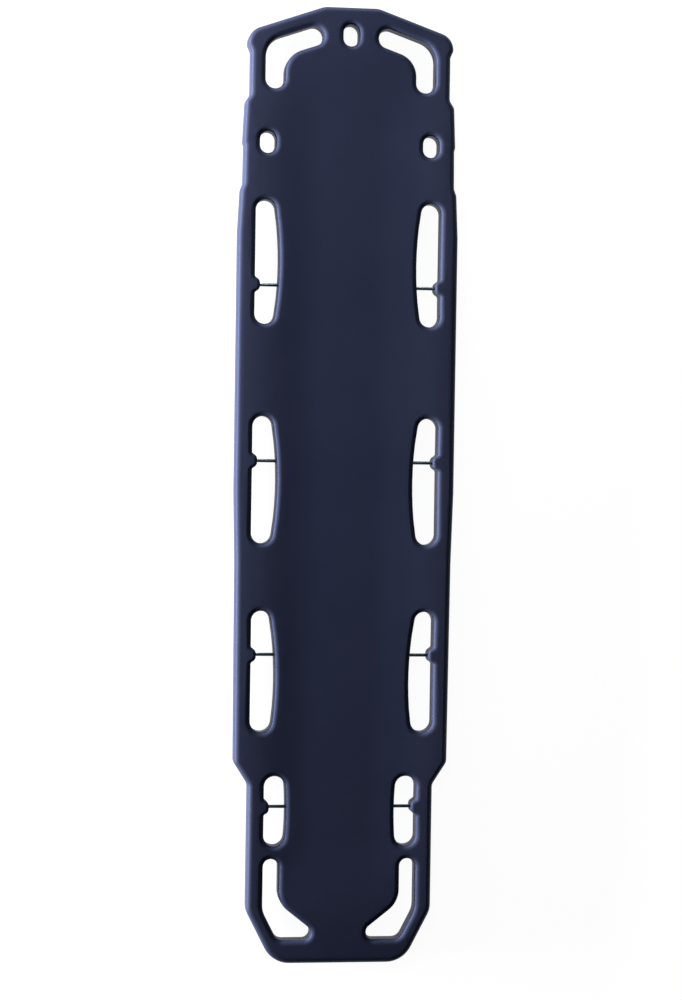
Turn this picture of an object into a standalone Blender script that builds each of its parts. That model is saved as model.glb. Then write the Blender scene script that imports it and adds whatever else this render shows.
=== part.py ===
"""Spine board: a moulded two-shell rescue board with a foam core and captive strap pins.

Metres, +Z up. The board lies on its runners on Z = 0, with its head end at +Y and X across it.
"""

import math

import bmesh
import bpy
from mathutils import Matrix, Vector

MM = 0.001

# Overall sizes
LENGTH = 1829 * MM
WIDTH = 424 * MM
BODY_HEIGHT = 44.5 * MM
RUNNER_HEIGHT = 6.5 * MM

# Moulding
WALL = 3.0 * MM
EDGE_RADIUS = 10.0 * MM
PARTING_GAP = 0.3 * MM
FOAM_GAP = 0.3 * MM
DISH_DEPTH = 4.5 * MM
DISH_LIFT = 1.5 * MM
DISH_FLANK = 120 * MM
DISH_SIDE_MARGIN = 20 * MM
DISH_END_MARGIN = 75 * MM
DISH_CORNER_RADIUS = 140 * MM

# Edge of the board: insets from the widest half-width, stations from the head end or the foot end
TOP_FLAT = 104 * MM
HEAD_SLOPE = math.radians(19.25)
CROWN_RADIUS = 40 * MM
LIP_INSET = 14.0 * MM
LIP_STATION = 76 * MM
LIP_STEP = 13 * MM
HEAD_CORNER_RADIUS = 47 * MM
NECK_INSET = 19.8 * MM
SHOULDER_STATION = 171 * MM
SHOULDER_STEP = 14 * MM
SHOULDER_INSET = 10.7 * MM
ARM_INSET = 7.5 * MM
ARM_STATION = 261 * MM
ARM_NOTCH = 2.0 * MM
ARM_NOTCH_STEP = 8 * MM
CHEST_INSET = 8.6 * MM
CHEST_STATION = 340 * MM
CHEST_STEP = 13 * MM
CHEST_STEP_INSET = 3.8 * MM
HIP_STATION = 435 * MM
WAIST_INSET = 0.4 * MM
WAIST_STATION = 905 * MM
THIGH_INSET = 3.8 * MM
THIGH_STATION = 770 * MM
TAPER_INSET = 6.0 * MM
TAPER_STATION = 386 * MM
TAPER_LENGTH = 43 * MM
TAPER_RADIUS = 18 * MM
FOOT_INSET = 33.5 * MM
FOOT_STATION = 101 * MM
FOOT_SLOPE = math.radians(27.1)
FOOT_BEND_RADIUS = 45 * MM
FOOT_CORNER_RADIUS = 54 * MM
STEP_RADIUS = 14 * MM

# Hand slots along the rails: the first three share the run between the head grips and the taper
SLOT_INSETS = (33.7 * MM, 33.2 * MM, 36.0 * MM)
FOOT_RAIL_WIDTH = 31.7 * MM
SLOT_RUN_HEAD_STATION = 370 * MM
SLOT_RUN_FOOT_STATION = 444 * MM
SLOT_WEBS = (176 * MM, 129 * MM)
SLOT_SHARES = (0.332, 0.342, 0.326)
SLOT_WIDTHS = (45.6 * MM, 47.3 * MM, 46.2 * MM)
SLOT_BULGE_DROPS = (2 * MM, 4 * MM, 17 * MM)
SLOT_PIN_DROPS = (161 * MM, 85 * MM, 84 * MM)
FOOT_SLOT_STATION = 225 * MM
FOOT_SLOT_LENGTH = 134 * MM
FOOT_SLOT_WIDTH = 41.6 * MM
FOOT_SLOT_PIN_DROP = 59.5 * MM
SLOT_END_RADIUS = 24 * MM
SLOT_BULGE_RADIUS = 700 * MM

# Grips at the two ends
HEAD_GRIP_RAIL = 28.8 * MM
HEAD_GRIP_WIDTH = 36.6 * MM
HEAD_GRIP_STATION = 158 * MM
HEAD_GRIP_END_X = 54.2 * MM
HEAD_GRIP_OUTER_RADIUS = 42 * MM
HEAD_GRIP_INNER_RADIUS = 46 * MM
GRIP_END_RADIUS = 19 * MM
FOOT_GRIP_WIDTH = 29.5 * MM
FOOT_GRIP_LENGTH = 99 * MM
FOOT_GRIP_BOTTOM_RAIL = 45 * MM
FOOT_GRIP_SPLAY = math.radians(38.5)
FOOT_GRIP_BEND_STATION = 116 * MM
FOOT_GRIP_BEND_RADIUS = 50 * MM
FOOT_GRIP_TIP_RADIUS = 14 * MM
FOOT_GRIP_END_RADIUS = 16 * MM

# Oval strap holes
CENTRE_HOLE_STATION = 53 * MM
STRAP_HOLE_STATION = 260.5 * MM
STRAP_HOLE_EDGE = 47.3 * MM
STRAP_HOLE_WIDTH = 30 * MM
STRAP_HOLE_LENGTH = 41 * MM

# Strap pins, held in pads between the two shells
PIN_RADIUS = 3.175 * MM
PIN_CHAMFER = 0.6 * MM
PIN_ANCHOR = 14 * MM
PIN_CLEARANCE = 0.3 * MM
PAD_WALL = 5.5 * MM
BOSS_HEIGHT = 9.5 * MM
BOSS_BASE_WIDTH = 30 * MM
BOSS_TIP_WIDTH = 17 * MM
BOSS_TIP_MARGIN = 1 * MM
BOSS_BASE_RADIUS = 5 * MM

# Runners, stiffeners and plugs
RUNNER_WIDTH = 26 * MM
RUNNER_EDGE = 3 * MM
RUNNER_MARGIN = 6 * MM
RUNNER_HEAD_STATION = 185 * MM
RUNNER_ROOT = 1.5 * MM
STIFFENER_RADIUS = 8 * MM
STIFFENER_WALL = 2 * MM
STIFFENER_LENGTH_MARGIN = 190 * MM
STIFFENER_MARGIN = 3 * MM
PLUG_CLEARANCE = 0.3 * MM
PLUG_HEAD_THICKNESS = 1.6 * MM
PLUG_STEM_LENGTH = 9 * MM
PLUG_CHAMFER = 0.8 * MM
FILL_PLUG_STATION = 78 * MM
FILL_PLUG_RADIUS = 9 * MM
FILL_PLUG_HEAD_RADIUS = 13 * MM
VENT_PLUG_STATION = 112 * MM
VENT_PLUG_RADIUS = 5 * MM
VENT_PLUG_HEAD_RADIUS = 8 * MM

# Derived planes
HALF = WIDTH / 2
HEAD = LENGTH / 2
FOOT = -LENGTH / 2
UNDERSIDE = RUNNER_HEIGHT
DECK = RUNNER_HEIGHT + BODY_HEIGHT
PARTING = (UNDERSIDE + DECK) / 2
FAR = LENGTH + WIDTH
CHORD_SAG = 1.4 * MM
SHORTEST_SIDE = 0.1 * MM
SMALLEST_TURN = math.radians(8)


# Outlines

def arc_reaches(corners):
    """How far each corner's arc reaches along its two sides. Two arcs too long for a side share it."""
    places = [Vector(corner[:2]) for corner in corners]
    wanted = []
    for index, (_, _, radius) in enumerate(corners):
        before = places[index - 1] - places[index]
        after = places[(index + 1) % len(places)] - places[index]
        turn = math.pi - before.angle(after)
        wanted.append(radius * math.tan(turn / 2) if turn > SMALLEST_TURN else 0)
    sides = [(places[index - 1] - place).length for index, place in enumerate(places)]
    shares = []
    for index, side in enumerate(sides):
        both = wanted[index - 1] + wanted[index]
        shares.append(min(1, side / both) if both > 0 else 1)
    following = shares[1:] + shares[:1]
    return [reach * min(pair) for reach, *pair in zip(wanted, shares, following)]


def rounded(corners):
    """Points of a closed outline from (x, y, radius) corners, with the corners as arcs."""
    points = []
    for index, ((x, y, _), reach) in enumerate(zip(corners, arc_reaches(corners))):
        here = Vector((x, y))
        if reach == 0:
            points.append(here)
            continue
        before = Vector(corners[index - 1][:2]) - here
        after = Vector(corners[(index + 1) % len(corners)][:2]) - here
        turn = math.pi - before.angle(after)
        start = here + before.normalized() * reach
        end = here + after.normalized() * reach
        inward = (before.normalized() + after.normalized()).normalized()
        bend_radius = reach / math.tan(turn / 2)
        centre = here + inward * (bend_radius / math.cos(turn / 2))
        chord_turn = 2 * math.acos(1 - min(1, CHORD_SAG / bend_radius))
        steps = math.ceil(turn / chord_turn)
        swing = Vector(start - centre).angle_signed(end - centre)
        for step in range(steps + 1):
            spoke = (start - centre).copy()
            spoke.rotate(Matrix.Rotation(-swing * step / steps, 2))
            points.append(centre + spoke)
    pairs = zip(points[-1:] + points, points)
    return [point for last, point in pairs if (point - last).length > SHORTEST_SIDE]


def mirrored(outline):
    return [Vector((-x, y)) for x, y in reversed(outline)]


def head_slope_y(x):
    """Height of the head's sloping edge at x."""
    return HEAD - (x - TOP_FLAT / 2) * math.tan(HEAD_SLOPE)


def edge_outline():
    """The board's outer edge, from the head down the right side and back up the left."""
    lip = HALF - LIP_INSET
    neck = HALF - NECK_INSET
    foot = HALF - FOOT_INSET
    right = [
        (TOP_FLAT / 2, HEAD, CROWN_RADIUS),
        (lip, head_slope_y(lip), HEAD_CORNER_RADIUS),
        (lip, HEAD - LIP_STATION, STEP_RADIUS),
        (neck, HEAD - LIP_STATION - LIP_STEP, STEP_RADIUS),
        (neck, HEAD - SHOULDER_STATION, STEP_RADIUS),
        (HALF - SHOULDER_INSET, HEAD - SHOULDER_STATION - SHOULDER_STEP, STEP_RADIUS),
        (HALF - ARM_INSET, HEAD - ARM_STATION, 0),
        (HALF - ARM_INSET - ARM_NOTCH, HEAD - ARM_STATION - ARM_NOTCH_STEP, 0),
        (HALF - CHEST_INSET, HEAD - CHEST_STATION, STEP_RADIUS),
        (HALF - CHEST_STEP_INSET, HEAD - CHEST_STATION - CHEST_STEP, STEP_RADIUS),
        (HALF, HEAD - HIP_STATION, 0),
        (HALF - WAIST_INSET, FOOT + WAIST_STATION, 0),
        (HALF - THIGH_INSET, FOOT + THIGH_STATION, 0),
        (HALF - TAPER_INSET, FOOT + TAPER_STATION, TAPER_RADIUS),
        (foot, FOOT + TAPER_STATION - TAPER_LENGTH, TAPER_RADIUS),
        (foot, FOOT + FOOT_STATION, FOOT_BEND_RADIUS),
        (foot - FOOT_STATION * math.tan(FOOT_SLOPE), FOOT, FOOT_CORNER_RADIUS),
    ]
    left = [(-x, y, radius) for x, y, radius in reversed(right)]
    return rounded(right + left)


def slots():
    """One dictionary for each right-hand slot: its outer and inner walls, its ends and its pin."""
    run_top = HEAD - SLOT_RUN_HEAD_STATION
    run = run_top - (FOOT + SLOT_RUN_FOOT_STATION) - sum(SLOT_WEBS)
    found = []
    top = run_top
    for inset, share, width, drop, pin_drop, web in zip(
        SLOT_INSETS, SLOT_SHARES, SLOT_WIDTHS, SLOT_BULGE_DROPS, SLOT_PIN_DROPS, SLOT_WEBS + (0,)
    ):
        bottom = top - run * share
        outer = HALF - inset
        found.append(
            {"outer": outer, "inner": outer - width, "top": top, "bottom": bottom,
             "bulge": (top + bottom) / 2 - drop, "pin": top - pin_drop}
        )
        top = bottom - web
    bottom = FOOT + FOOT_SLOT_STATION
    top = bottom + FOOT_SLOT_LENGTH
    outer = HALF - FOOT_INSET - FOOT_RAIL_WIDTH
    found.append(
        {"outer": outer, "inner": outer - FOOT_SLOT_WIDTH, "top": top, "bottom": bottom,
         "bulge": (top + bottom) / 2, "pin": top - FOOT_SLOT_PIN_DROP}
    )
    return found


def inner_wall_x(slot, y):
    """The slot's inner wall bows towards the middle of the board."""
    return slot["inner"] + (y - slot["bulge"]) ** 2 / (2 * SLOT_BULGE_RADIUS)


def boss_corners(slot):
    """The rail swells into the slot round the pin, full height, with a tip that the rim can follow."""
    wall, tip, pin = slot["outer"], slot["outer"] - BOSS_HEIGHT, slot["pin"]
    tip_radius = EDGE_RADIUS + BOSS_TIP_MARGIN
    return [
        (wall, pin + BOSS_BASE_WIDTH / 2, BOSS_BASE_RADIUS),
        (tip, pin + BOSS_TIP_WIDTH / 2, tip_radius),
        (tip, pin - BOSS_TIP_WIDTH / 2, tip_radius),
        (wall, pin - BOSS_BASE_WIDTH / 2, BOSS_BASE_RADIUS),
    ]


def slot_outline(slot):
    top, bottom = slot["top"], slot["bottom"]
    bulge = [bottom + (top - bottom) * share for share in (0.3, 0.5, 0.7)]
    return rounded(
        [(slot["outer"], top, SLOT_END_RADIUS)]
        + boss_corners(slot)
        + [(slot["outer"], bottom, SLOT_END_RADIUS)]
        + [(inner_wall_x(slot, bottom), bottom, SLOT_END_RADIUS)]
        + [(inner_wall_x(slot, y), y, 0) for y in bulge]
        + [(inner_wall_x(slot, top), top, SLOT_END_RADIUS)]
    )


def oval_outline(x, y, width=STRAP_HOLE_WIDTH, length=STRAP_HOLE_LENGTH):
    half_width, half_length = width / 2, length / 2
    corners = [(half_width, half_length), (half_width, -half_length), (-half_width, -half_length)]
    corners.append((-half_width, half_length))
    return rounded([(x + dx, y + dy, half_width) for dx, dy in corners])


def head_grip_outline():
    """An L that keeps one rail's width from the side and from the sloping head edge."""
    outer = HALF - NECK_INSET - HEAD_GRIP_RAIL
    inner = outer - HEAD_GRIP_WIDTH
    bottom = HEAD - HEAD_GRIP_STATION
    rail_drop = HEAD_GRIP_RAIL / math.cos(HEAD_SLOPE)
    channel_drop = (HEAD_GRIP_RAIL + HEAD_GRIP_WIDTH) / math.cos(HEAD_SLOPE)
    lean = HEAD_GRIP_WIDTH / 2 * math.sin(HEAD_SLOPE)
    near_top = HEAD_GRIP_END_X + lean
    near_bottom = HEAD_GRIP_END_X - lean
    return rounded([
        (outer, bottom, GRIP_END_RADIUS),
        (inner, bottom, GRIP_END_RADIUS),
        (inner, head_slope_y(inner) - channel_drop, HEAD_GRIP_INNER_RADIUS),
        (near_bottom, head_slope_y(near_bottom) - channel_drop, GRIP_END_RADIUS),
        (near_top, head_slope_y(near_top) - rail_drop, GRIP_END_RADIUS),
        (outer, head_slope_y(outer) - rail_drop, HEAD_GRIP_OUTER_RADIUS),
    ])


def foot_grip_outline():
    """A straight channel beside the rail that splays inwards above the foot edge."""
    foot = HALF - FOOT_INSET
    outer = foot - FOOT_RAIL_WIDTH
    inner = outer - FOOT_GRIP_WIDTH
    bottom = FOOT + FOOT_GRIP_BOTTOM_RAIL
    bend = FOOT + FOOT_STATION
    top = bend + FOOT_GRIP_LENGTH
    inner_bend = FOOT + FOOT_GRIP_BEND_STATION
    toe = outer - (bend - bottom) * math.tan(FOOT_SLOPE)
    tip = inner - (inner_bend - bottom) / math.tan(FOOT_GRIP_SPLAY)
    return rounded([
        (outer, top, FOOT_GRIP_END_RADIUS),
        (inner, top, FOOT_GRIP_END_RADIUS),
        (inner, inner_bend, FOOT_GRIP_BEND_RADIUS),
        (tip, bottom, FOOT_GRIP_TIP_RADIUS),
        (toe, bottom, GRIP_END_RADIUS),
        (outer, bend, FOOT_BEND_RADIUS),
    ])


def plan_outlines():
    """The outer edge, then every opening."""
    right = [slot_outline(slot) for slot in slots()]
    right += [head_grip_outline(), foot_grip_outline()]
    right.append(oval_outline(HALF - ARM_INSET - STRAP_HOLE_EDGE, HEAD - STRAP_HOLE_STATION))
    left = [mirrored(outline) for outline in right]
    return [edge_outline(), oval_outline(0, HEAD - CENTRE_HOLE_STATION)] + right + left


# Building blocks

def clear_scene():
    for old in list(bpy.data.objects):
        bpy.data.objects.remove(old)


def new_collection(name):
    collection = bpy.data.collections.new(name)
    bpy.context.scene.collection.children.link(collection)
    return collection


def material(name, colour, roughness, metallic=0.0):
    made = bpy.data.materials.new(name)
    made.use_nodes = True
    shader = made.node_tree.nodes["Principled BSDF"]
    shader.inputs["Base Color"].default_value = (*colour, 1)
    shader.inputs["Roughness"].default_value = roughness
    shader.inputs["Metallic"].default_value = metallic
    return made


def link(name, mesh, collection):
    piece = bpy.data.objects.new(name, mesh)
    collection.objects.link(piece)
    return piece


def hide_as_cutter(cutter):
    cutter.hide_render = True
    cutter.display_type = "WIRE"
    return cutter


def meshed(piece, name, collection):
    """Turn a curve, or an object with modifiers, into a plain mesh with its caps welded."""
    bpy.context.view_layer.update()
    graph = bpy.context.evaluated_depsgraph_get()
    mesh = bpy.data.meshes.new_from_object(piece.evaluated_get(graph))
    mesh.transform(piece.matrix_world)
    bpy.data.objects.remove(piece)
    welded = bmesh.new()
    welded.from_mesh(mesh)
    bmesh.ops.remove_doubles(welded, verts=welded.verts, dist=0.01 * MM)
    bmesh.ops.recalc_face_normals(welded, faces=welded.faces)
    welded.to_mesh(mesh)
    welded.free()
    mesh.name = name
    return link(name, mesh, collection)


def slab(name, outlines, low, high, inset, edge, edge_steps, collection):
    """A flat solid between two heights whose rounded edges lie `inset` inside the outlines."""
    flat = bpy.data.curves.new(name, "CURVE")
    flat.dimensions = "2D"
    flat.fill_mode = "BOTH"
    flat.extrude = (high - low) / 2 - edge
    flat.bevel_depth = edge
    flat.bevel_resolution = edge_steps - 1
    flat.offset = -edge - inset
    for outline in outlines:
        spline = flat.splines.new("POLY")
        spline.points.add(len(outline) - 1)
        for point, place in zip(spline.points, outline):
            point.co = (*place, 0, 1)
        spline.use_cyclic_u = True
    piece = link(name, flat, collection)
    piece.location.z = (low + high) / 2
    return meshed(piece, name, collection)


def block(name, low, high, collection):
    """A box between two corners."""
    low, high = Vector(low), Vector(high)
    made = bmesh.new()
    bmesh.ops.create_cube(made, size=1)
    bmesh.ops.scale(made, verts=made.verts, vec=high - low)
    bmesh.ops.translate(made, verts=made.verts, vec=(low + high) / 2)
    mesh = bpy.data.meshes.new(name)
    made.to_mesh(mesh)
    made.free()
    return link(name, mesh, collection)


def rod(name, radius, start, end, collection, sides=12):
    """A round bar between two points."""
    start, end = Vector(start), Vector(end)
    made = bmesh.new()
    length = (end - start).length
    bmesh.ops.create_cone(
        made, cap_ends=True, segments=sides, radius1=radius, radius2=radius, depth=length
    )
    turn = (end - start).to_track_quat("Z", "Y").to_matrix().to_4x4()
    bmesh.ops.transform(made, verts=made.verts, matrix=Matrix.Translation((start + end) / 2) @ turn)
    mesh = bpy.data.meshes.new(name)
    made.to_mesh(mesh)
    made.free()
    return link(name, mesh, collection)


def joined(name, pieces, collection):
    """One mesh object holding several separate solids, for use as a single cutter."""
    made = bmesh.new()
    for piece in pieces:
        made.from_mesh(piece.data)
        bpy.data.objects.remove(piece)
    mesh = bpy.data.meshes.new(name)
    made.to_mesh(mesh)
    made.free()
    return link(name, mesh, collection)


def boolean(piece, operation, other):
    step = piece.modifiers.new(f"{operation.lower()} {other.name}", "BOOLEAN")
    step.operation = operation
    step.object = other
    step.solver = "EXACT"


def turned(name, profile, place, collection, steps=16):
    """A solid of revolution about a vertical axis, from (radius, height) points running top to bottom."""
    made = bmesh.new()
    rim = [made.verts.new((radius, 0, height)) for radius, height in profile]
    for upper, lower in zip(rim, rim[1:]):
        made.edges.new((upper, lower))
    mesh = bpy.data.meshes.new(name)
    made.to_mesh(mesh)
    made.free()
    piece = link(name, mesh, collection)
    piece.location = place
    screw = piece.modifiers.new("turn", "SCREW")
    screw.steps = steps
    screw.render_steps = steps
    screw.use_merge_vertices = True
    screw.merge_threshold = 0.01 * MM
    return piece


# The moulding and what it holds

def dish(name, drop, collection):
    """Cutter for the shallow patient dish: a flat floor with long sloping flanks, lowered by `drop`.

    Its flanks carry on above the deck by DISH_LIFT, so that they cross it cleanly.
    """
    side = HALF - DISH_SIDE_MARGIN
    head = HEAD - DISH_END_MARGIN
    foot = FOOT + DISH_END_MARGIN
    corners = [(side, head), (side, foot), (-side, foot), (-side, head)]
    outline = rounded([(x, y, DISH_CORNER_RADIUS) for x, y in corners])
    squash = (DISH_DEPTH + DISH_LIFT) / DISH_FLANK
    pan = slab(name, [outline], -DISH_FLANK, DISH_FLANK, 0, DISH_FLANK, 1, collection)
    flatten = Matrix.Scale(squash, 4, (0, 0, 1))
    pan.data.transform(Matrix.Translation((0, 0, DECK + DISH_LIFT - drop)) @ flatten)
    return hide_as_cutter(pan)


def pin_span(slot):
    """The pin's two ends, buried in the inner wall and in the rail."""
    return inner_wall_x(slot, slot["pin"]) - PIN_ANCHOR, slot["outer"] + PIN_ANCHOR


def sided(side, x_low, x_high):
    """The same span on the right (1) or the left (-1), lowest first."""
    return sorted((side * x_low, side * x_high))


def pin_pads(name, growth, collection):
    """Blocks round every pin end, where the shells stay solid."""
    reach = PIN_RADIUS + PIN_CLEARANCE + PAD_WALL + growth
    pads = []
    for slot in slots():
        inner_end, outer_end = pin_span(slot)
        for side in (1, -1):
            low_x, high_x = sided(side, inner_end - WALL - growth, outer_end + WALL + growth)
            low = (low_x, slot["pin"] - reach, PARTING - reach)
            high = (high_x, slot["pin"] + reach, PARTING + reach)
            pads.append(block("pad", low, high, collection))
    return hide_as_cutter(joined(name, pads, collection))


def pin_bores(collection):
    bores = []
    for slot in slots():
        inner_end, outer_end = pin_span(slot)
        for side in (1, -1):
            start = (side * (inner_end - PIN_CLEARANCE), slot["pin"], PARTING)
            end = (side * (outer_end + PIN_CLEARANCE), slot["pin"], PARTING)
            bores.append(rod("bore", PIN_RADIUS + PIN_CLEARANCE, start, end, collection))
    return hide_as_cutter(joined("pin_bores", bores, collection))


def moulding(collection, cutters):
    """The whole outer form of the body, solid, with the dish."""
    form = slab("form", plan_outlines(), UNDERSIDE, DECK, 0, EDGE_RADIUS, 2, collection)
    boolean(form, "DIFFERENCE", dish("dish_cut", 0, cutters))
    return meshed(form, "form", collection)


def hollow(name, gap, collection):
    """The space inside the walls, shrunk by `gap`, less the pads round the pins."""
    inset = WALL + gap
    low, high = UNDERSIDE + inset, DECK - inset
    space = slab(name, plan_outlines(), low, high, inset, EDGE_RADIUS - WALL, 1, collection)
    boolean(space, "DIFFERENCE", dish(f"{name}_dish", inset, collection))
    boolean(space, "DIFFERENCE", pin_pads(f"{name}_pads", gap, collection))
    return meshed(space, name, collection)


def stiffener_x():
    innermost = min(slot["inner"] for slot in slots())
    return innermost - PIN_ANCHOR - WALL - FOAM_GAP - STIFFENER_MARGIN - STIFFENER_RADIUS


def stiffener_ends():
    return FOOT + STIFFENER_LENGTH_MARGIN, HEAD - STIFFENER_LENGTH_MARGIN


def plugs():
    """Name, place, stem radius and head radius of the two plugs in the underside."""
    return [
        ("foam_fill_plug", (0, FOOT + FILL_PLUG_STATION), FILL_PLUG_RADIUS, FILL_PLUG_HEAD_RADIUS),
        ("vent_plug", (0, HEAD - VENT_PLUG_STATION), VENT_PLUG_RADIUS, VENT_PLUG_HEAD_RADIUS),
    ]


def plug_holes(name, growth, top, collection):
    holes = []
    for _, (x, y), stem, _ in plugs():
        holes.append(rod("hole", stem + growth, (x, y, 0), (x, y, top), collection, sides=16))
    return hide_as_cutter(joined(name, holes, collection))


def runners(collection):
    """Two long skids whose flat feet carry the board."""
    outer = min(slot["inner"] for slot in slots()[:3]) - EDGE_RADIUS - RUNNER_MARGIN
    head = HEAD - RUNNER_HEAD_STATION
    foot = FOOT + FOOT_SLOT_STATION + FOOT_SLOT_LENGTH + RUNNER_WIDTH
    radius = RUNNER_WIDTH / 2
    inner = outer - RUNNER_WIDTH
    corners = [(outer, head), (outer, foot), (inner, foot), (inner, head)]
    right = rounded([(x, y, radius) for x, y in corners])
    high = RUNNER_HEIGHT + RUNNER_ROOT + RUNNER_EDGE
    skids = slab("skids", [right, mirrored(right)], 0, high, 0, RUNNER_EDGE, 1, collection)
    return hide_as_cutter(skids)


def shells(collection, cutters, plastic):
    """Deck and base, each the moulded form less the hollow, on its own side of the parting plane."""
    form = moulding(collection, cutters)
    deck = link("deck_shell", form.data, collection)
    base = link("base_shell", form.data.copy(), collection)
    bpy.data.objects.remove(form)
    boolean(base, "UNION", runners(cutters))
    inside = hide_as_cutter(hollow("hollow", 0, cutters))
    bores = pin_bores(cutters)
    below = block("below_parting", (-FAR, -FAR, -FAR), (FAR, FAR, PARTING + PARTING_GAP / 2), cutters)
    above = block("above_parting", (-FAR, -FAR, PARTING - PARTING_GAP / 2), (FAR, FAR, FAR), cutters)
    for shell, other_side in ((deck, below), (base, above)):
        boolean(shell, "DIFFERENCE", inside)
        boolean(shell, "DIFFERENCE", hide_as_cutter(other_side))
        boolean(shell, "DIFFERENCE", bores)
        shell.data.materials.append(plastic)
    hole_top = UNDERSIDE + 2 * WALL
    boolean(base, "DIFFERENCE", plug_holes("plug_holes", PLUG_CLEARANCE, hole_top, cutters))


def foam_core(collection, cutters, foam):
    """Foam that fills the hollow, with open channels for the stiffeners and pockets for the plugs."""
    core = hollow("foam_core", FOAM_GAP, collection)
    half = STIFFENER_RADIUS + FOAM_GAP
    foot, head = stiffener_ends()
    channels = []
    for side in (1, -1):
        x = side * stiffener_x()
        low = (x - half, foot - FOAM_GAP, PARTING - half)
        high = (x + half, head + FOAM_GAP, FAR)
        channels.append(block("channel", low, high, cutters))
    boolean(core, "DIFFERENCE", hide_as_cutter(joined("stiffener_channels", channels, cutters)))
    pocket_top = UNDERSIDE + PLUG_STEM_LENGTH + FOAM_GAP
    boolean(core, "DIFFERENCE", plug_holes("plug_pockets", PLUG_CLEARANCE, pocket_top, cutters))
    core.data.materials.append(foam)


def stiffeners(collection, glass_fibre):
    """Pultruded tubes along the board."""
    foot, head = stiffener_ends()
    inner = STIFFENER_RADIUS - STIFFENER_WALL
    half = (head - foot) / 2
    outer = STIFFENER_RADIUS
    profile = [(inner, half), (outer, half), (outer, -half), (inner, -half), (inner, half)]
    for name, side in (("stiffener_right", 1), ("stiffener_left", -1)):
        place = (side * stiffener_x(), (head + foot) / 2, PARTING)
        tube = turned(name, profile, place, collection, steps=12)
        tube.rotation_euler.x = math.radians(-90)
        tube.data.materials.append(glass_fibre)


def strap_pins(collection, steel):
    """Round steel pins across the slots."""
    for number, slot in enumerate(slots(), 1):
        inner_end, outer_end = pin_span(slot)
        half = (outer_end - inner_end) / 2
        profile = [
            (0, half), (PIN_RADIUS - PIN_CHAMFER, half), (PIN_RADIUS, half - PIN_CHAMFER),
            (PIN_RADIUS, PIN_CHAMFER - half), (PIN_RADIUS - PIN_CHAMFER, -half), (0, -half),
        ]
        for suffix, side in (("right", 1), ("left", -1)):
            place = (side * (outer_end + inner_end) / 2, slot["pin"], PARTING)
            pin = turned(f"strap_pin_{number}_{suffix}", profile, place, collection, steps=12)
            pin.rotation_euler.y = math.radians(90)
            pin.data.materials.append(steel)


def close_plugs(collection, plastic):
    """Push-in plugs whose heads sit on the underside."""
    seat = -PARTING_GAP
    low = seat - PLUG_HEAD_THICKNESS
    for name, (x, y), stem, head in plugs():
        top = PLUG_STEM_LENGTH
        profile = [
            (0, top), (stem - PLUG_CHAMFER, top), (stem, top - PLUG_CHAMFER), (stem, seat),
            (head, seat), (head, low + PLUG_CHAMFER), (head - PLUG_CHAMFER, low), (0, low),
        ]
        plug = turned(name, profile, (x, y, UNDERSIDE), collection)
        plug.data.materials.append(plastic)


def main():
    clear_scene()
    board = new_collection("spine_board")
    cutters = new_collection("cutters")
    navy = material("navy_polyethylene", (0.022, 0.026, 0.060), 0.45)
    steel = material("pin_steel", (0.45, 0.46, 0.48), 0.35, metallic=1.0)
    foam = material("core_foam", (0.78, 0.72, 0.50), 0.95)
    glass_fibre = material("glass_fibre", (0.75, 0.74, 0.66), 0.5)
    black = material("plug_plastic", (0.015, 0.015, 0.018), 0.5)
    shells(board, cutters, navy)
    foam_core(board, cutters, foam)
    stiffeners(board, glass_fibre)
    strap_pins(board, steel)
    close_plugs(board, black)


main()
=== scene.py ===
# %% [markdown]
# # Spine board
# A spine board is the stiff plastic board that a patient is strapped to and carried on. The packed
# model gives every size and place, and this lesson builds the surfaces that people see and touch.
# Everything is in metres. The board lies on its runners, +Y runs to the head end and +Z is up.

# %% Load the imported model
import math

import bmesh
import bpy
from mathutils import Euler, Matrix, Vector


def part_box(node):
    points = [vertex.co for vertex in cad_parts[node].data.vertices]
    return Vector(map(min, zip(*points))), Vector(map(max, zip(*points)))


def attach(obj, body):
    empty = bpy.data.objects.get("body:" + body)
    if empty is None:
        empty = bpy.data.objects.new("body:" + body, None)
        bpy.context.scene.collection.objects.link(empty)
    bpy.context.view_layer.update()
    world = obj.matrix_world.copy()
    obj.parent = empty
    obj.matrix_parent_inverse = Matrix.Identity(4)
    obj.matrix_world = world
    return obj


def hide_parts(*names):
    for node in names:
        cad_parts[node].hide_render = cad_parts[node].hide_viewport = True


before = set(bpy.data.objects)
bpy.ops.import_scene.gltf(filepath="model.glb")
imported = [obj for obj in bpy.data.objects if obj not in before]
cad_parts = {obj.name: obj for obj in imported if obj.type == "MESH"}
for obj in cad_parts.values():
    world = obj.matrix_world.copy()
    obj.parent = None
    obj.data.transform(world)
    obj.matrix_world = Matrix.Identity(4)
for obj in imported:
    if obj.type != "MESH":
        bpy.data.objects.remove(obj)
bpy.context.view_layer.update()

print("nodes", sorted(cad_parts))

# %% [markdown]
# ## Driving sizes
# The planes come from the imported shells. Widths are counted inwards from the widest half-width, and
# places along the board from its head end or its foot end, the way a mould drawing gives them.

# %% Planes of the board
MM = 0.001
deck_low, deck_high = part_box("deck_shell")
base_low, base_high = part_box("base_shell")
HALF = deck_high.x
HEAD = deck_high.y
FOOT = deck_low.y
DECK = deck_high.z
PARTING = (deck_low.z + base_high.z) / 2
SEAM = (deck_low.z - base_high.z) / 2
UNDERSIDE = 2 * PARTING - DECK
RUNNER_HEIGHT = UNDERSIDE - base_low.z
BODY_HALF = DECK - PARTING
print(f"board {2 * HALF / MM:.0f} x {(HEAD - FOOT) / MM:.0f} mm, deck at {DECK / MM:.1f} mm")

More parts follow.
